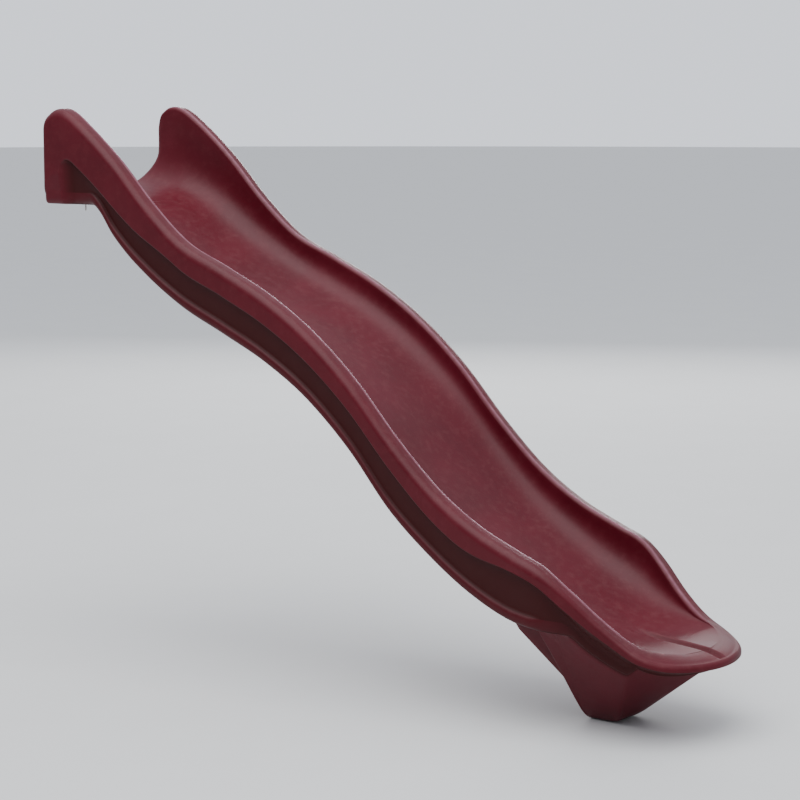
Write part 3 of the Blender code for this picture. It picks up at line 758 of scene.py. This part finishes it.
def slide_plastic():
    """Rotomoulded polyethylene: fine orange-peel skin, slow waviness, a bed polished and scratched by use,
    painted shade in the hollows and on the recessed lower wall, and a painted highlight along the rim's inner
    edge.
    """
    n = Nodes(bpy.data.materials.new("rotomoulded_burgundy"))
    where = n.add("ShaderNodeTexCoord").outputs["Object"]
    run = n.add("ShaderNodeUVMap", uv_map="run").outputs["UV"]
    geometry = n.add("ShaderNodeNewGeometry")
    facing = n.add("ShaderNodeSeparateXYZ", {"Vector": geometry.outputs["Normal"]}).outputs["Z"]

    cloud = n.noise(where, 5.0, 3.0, 0.55)
    speck = n.noise(where, 900.0, 1.0, 0.5)
    blotch = n.noise(where, 38.0, 4.0, 0.6)
    peel = n.noise(where, 260.0, 2.0, 0.45)
    grain = n.noise(where, 1100.0, 1.0, 0.5)
    wave = n.noise(where, 9.0, 1.0, 0.4)
    streak = n.noise(n.mapped(run, (5.0, 420.0, 1.0)), 1.0, 3.0, 0.7)
    scratch = n.noise(n.mapped(run, (11.0, 1500.0, 1.0)), 1.0, 2.0, 0.6)

    upward = n.ramp(facing, 0.15, 0.85)
    scratch_line = n.math("MULTIPLY", n.ramp(scratch, 0.60, 0.74), upward)
    # marks for the painted shade on the recessed lower wall and the painted highlight on the rim's inner edge
    recess = n.add("ShaderNodeAttribute", attribute_name="recess").outputs["Fac"]
    rim_highlight = n.add("ShaderNodeAttribute", attribute_name="rim_highlight").outputs["Fac"]
    edge = n.ramp(geometry.outputs["Pointiness"], 0.520, 0.560)
    # painted shade: concave creases and corners, found by low pointiness, are darkened
    hollow_shade = n.ramp(geometry.outputs["Pointiness"], 0.485, 0.440)

    colour = n.blend(BURGUNDY_DEEP, BURGUNDY, n.ramp(cloud, 0.35, 0.65))
    colour = n.blend(colour, BURGUNDY_CHALKY, n.math("MULTIPLY", n.ramp(blotch, 0.50, 0.80), 0.10))
    colour = n.blend(colour, BURGUNDY_CHALKY, n.math("MULTIPLY", n.ramp(speck, 0.62, 0.75), 0.12))
    colour = n.blend(colour, BURGUNDY_CHALKY, n.math("MULTIPLY", scratch_line, 0.22))
    colour = n.blend(colour, BURGUNDY_CHALKY, n.math("MULTIPLY", edge, 0.30))
    # painted highlight along the rim's inner edge, broken into patches
    patchy_rim_highlight = n.math("MULTIPLY", rim_highlight, n.ramp(blotch, 0.25, 0.60, 0.45, 0.85))
    colour = n.blend(colour, BURGUNDY_RIM_HIGHLIGHT, patchy_rim_highlight)
    # painted shade in the hollows
    colour = n.blend(colour, BURGUNDY_DEEP, n.math("MULTIPLY", hollow_shade, 0.50))
    # painted shade on the recessed lower wall
    colour = n.blend(colour, BURGUNDY_SHADED, recess)
    dusty = n.math("MULTIPLY", n.math("MULTIPLY", upward, n.ramp(blotch, 0.45, 0.75)), 0.035)
    colour = n.blend(colour, DUST, dusty)
    n.put(n.shader.inputs["Base Color"], colour)

    rough = n.math("ADD", n.ramp(cloud, 0.3, 0.7, 0.36, 0.43), n.ramp(blotch, 0.35, 0.75, -0.02, 0.04))
    rough = n.math("ADD", rough, n.ramp(streak, 0.35, 0.75, -0.015, 0.035))
    rough = n.math("ADD", rough, n.math("MULTIPLY", scratch_line, 0.10))
    rough = n.math("ADD", rough, n.math("MULTIPLY", recess, 0.14))
    down_run = n.add("ShaderNodeSeparateXYZ", {"Vector": where}).outputs["X"]
    rough = n.math("ADD", rough, n.ramp(down_run, 0.80, 1.15, 0.0, 0.12))
    n.put(n.shader.inputs["Roughness"], rough)

    normal = n.bump(wave, 0.0012, 0.45)
    normal = n.bump(peel, 0.00030, 0.60, normal)
    normal = n.bump(grain, 0.00008, 0.50, normal)
    normal = n.bump(scratch_line, -0.00012, 0.35, normal)
    n.put(n.shader.inputs["Normal"], normal)
    n.shader.inputs["IOR"].default_value = 1.51
    n.shader.inputs["Specular IOR Level"].default_value = 0.20
    return n.owner


def zinc_steel():
    """Zinc-plated steel: faint spangle, turning marks and dull patches."""
    n = Nodes(bpy.data.materials.new("zinc_plate"))
    where = n.add("ShaderNodeTexCoord").outputs["Object"]
    spangle = n.add("ShaderNodeTexVoronoi", {"Scale": 700.0})
    n.put(spangle.inputs["Vector"], where)
    dull = n.noise(where, 240.0, 3.0, 0.6)
    turned = n.noise(n.mapped(where, (60.0, 60.0, 9000.0)), 1.0, 2.0, 0.6)
    colour = n.blend((0.50, 0.505, 0.50, 1.0), (0.36, 0.355, 0.34, 1.0), n.ramp(dull, 0.4, 0.7))
    colour = n.blend(colour, (0.62, 0.60, 0.52, 1.0), n.math("MULTIPLY", spangle.outputs["Distance"], 0.25))
    n.put(n.shader.inputs["Base Color"], colour)
    n.shader.inputs["Metallic"].default_value = 1.0
    rough = n.math("ADD", n.ramp(dull, 0.3, 0.7, 0.26, 0.46), n.ramp(turned, 0.3, 0.7, -0.03, 0.05))
    n.put(n.shader.inputs["Roughness"], rough)
    normal = n.bump(turned, 0.00004, 0.5)
    n.put(n.shader.inputs["Normal"], n.bump(dull, 0.00006, 0.4, normal))
    return n.owner


def plug_plastic():
    """Black moulded nylon with a fine grain and pale scuffs."""
    n = Nodes(bpy.data.materials.new("black_nylon"))
    where = n.add("ShaderNodeTexCoord").outputs["Object"]
    grain = n.noise(where, 1500.0, 2.0, 0.5)
    scuff = n.noise(where, 190.0, 4.0, 0.7)
    scuffed = n.ramp(scuff, 0.58, 0.80, 0.0, 0.6)
    colour = n.blend((0.018, 0.018, 0.019, 1.0), (0.075, 0.073, 0.070, 1.0), scuffed)
    n.put(n.shader.inputs["Base Color"], colour)
    n.put(n.shader.inputs["Roughness"], n.ramp(scuff, 0.35, 0.75, 0.40, 0.62))
    n.put(n.shader.inputs["Normal"], n.bump(grain, 0.00008, 0.6))
    return n.owner


def paint(obj, material):
    obj.data.materials.clear()
    obj.data.materials.append(material)


# ---------------------------------------------------------------- the pieces
SKIN_SHARP = math.radians(50.0)     # edges that turn more than this stay sharp
HARDWARE_SHARP = math.radians(35.0)

skin = slide_skin()
fit_to_box(skin, BODY_LOW, BODY_HIGH)
skin.shade_smooth()
slide = link(bpy.data.objects.new("wave_slide_moulding", skin))
cut_bores(slide)
slide.data.set_sharp_from_angle(angle=SKIN_SHARP)
paint(slide, slide_plastic())
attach(slide, "root")
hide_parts("slide_body")

steel = zinc_steel()
black = plug_plastic()
for name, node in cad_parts.items():
    if name.startswith("deck_"):
        paint(node, steel)
    elif name == "vent_plug":
        paint(node, black)
    if name != "slide_body":
        node.data.shade_smooth()
        node.data.set_sharp_from_angle(angle=HARDWARE_SHARP)


# ---------------------------------------------------------------- stage, light and camera
FLOOR_RADIUS = 60.0
SKY_ROUND = 0.24            # the sky's strength all round
SKY_ABOVE = 1.25            # what it gains overhead
SKY_BEHIND = 1.00           # and what it gains near the horizon on the side away from the camera
SKY_TINT = (0.91, 0.95, 1.04, 1.0)
BEHIND = (-0.61, 0.79, 0.0)     # that side
LIGHT_TARGET = Vector((0.0, 0.0, 0.9))
CAMERA_SPOT = Vector((5.847 + SHIFT_X, -5.999, 1.948))
CAMERA_TARGET = Vector((0.06, 0.0, 0.915))
CAMERA_LENS = 106.0
CAMERA_SENSOR = 36.0
CAMERA_REACH = 300.0


def stage_floor():
    """A wide pale floor."""
    bm = bmesh.new()
    bmesh.ops.create_circle(bm, cap_ends=True, segments=96, radius=FLOOR_RADIUS)
    mesh = bpy.data.meshes.new("floor")
    bm.to_mesh(mesh)
    bm.free()
    floor = link(bpy.data.objects.new("floor", mesh))
    n = Nodes(bpy.data.materials.new("pale_floor"))
    where = n.add("ShaderNodeTexCoord").outputs["Object"]
    soft = n.noise(where, 3.0, 4.0, 0.5)
    n.put(n.shader.inputs["Base Color"], n.blend((0.58, 0.58, 0.572, 1.0), (0.61, 0.61, 0.602, 1.0), soft))
    n.shader.inputs["Roughness"].default_value = 0.75
    n.shader.inputs["Specular IOR Level"].default_value = 0.15
    paint(floor, n.owner)


def studio_sky():
    """A pale sky that is brighter overhead and behind the slide."""
    n = Nodes(bpy.data.worlds.new("studio"), "Background")
    towards = n.add("ShaderNodeTexCoord").outputs["Generated"]

    def lobe(direction, low, high, strength):
        """Light around one direction, rising between two cosines of the angle to it."""
        dot = n.add("ShaderNodeVectorMath", {0: towards, 1: direction}, operation="DOT_PRODUCT")
        ends = {"From Min": low, "From Max": high, "To Max": strength}
        node = n.add("ShaderNodeMapRange", ends, interpolation_type="SMOOTHSTEP")
        n.put(node.inputs["Value"], dot.outputs["Value"])
        return node.outputs["Result"]

    above = lobe((0.0, 0.0, 1.0), 0.10, 0.90, SKY_ABOVE)
    behind = lobe(BEHIND, 0.00, 0.75, SKY_BEHIND)
    near_horizon = lobe((0.0, 0.0, -1.0), -0.52, -0.04, 1.0)
    strength = n.math("ADD", n.math("ADD", SKY_ROUND, above), n.math("MULTIPLY", behind, near_horizon))
    n.put(n.shader.inputs["Strength"], strength)
    n.shader.inputs["Color"].default_value = SKY_TINT
    return n.owner


def aim(obj, place, target):
    """Puts a light or a camera at a place and turns it to its target."""
    obj.location = place
    obj.rotation_mode = "QUATERNION"
    obj.rotation_quaternion = (Vector(target) - Vector(place)).to_track_quat("-Z", "Y")


def area_light(name, place, size, power):
    data = bpy.data.lights.new(name, "AREA")
    data.shape = "RECTANGLE"
    data.size, data.size_y = size
    data.energy = power
    aim(link(bpy.data.objects.new(name, data)), place, LIGHT_TARGET)


def studio_camera():
    """A camera ahead of the run-out, on the near side, a little above the wings."""
    data = bpy.data.cameras.new("camera")
    data.lens = CAMERA_LENS
    data.sensor_width = CAMERA_SENSOR
    data.clip_end = CAMERA_REACH
    camera = link(bpy.data.objects.new("camera", data))
    aim(camera, CAMERA_SPOT, CAMERA_TARGET)
    return camera


stage_floor()
bpy.context.scene.world = studio_sky()
area_light("overhead", (0.3, -2.0, 7.6), (7.5, 7.5), 600.0)
area_light("rim", (-4.5, 7.7, 3.5), (7.0, 1.2), 330.0)
bpy.context.scene.camera = studio_camera()
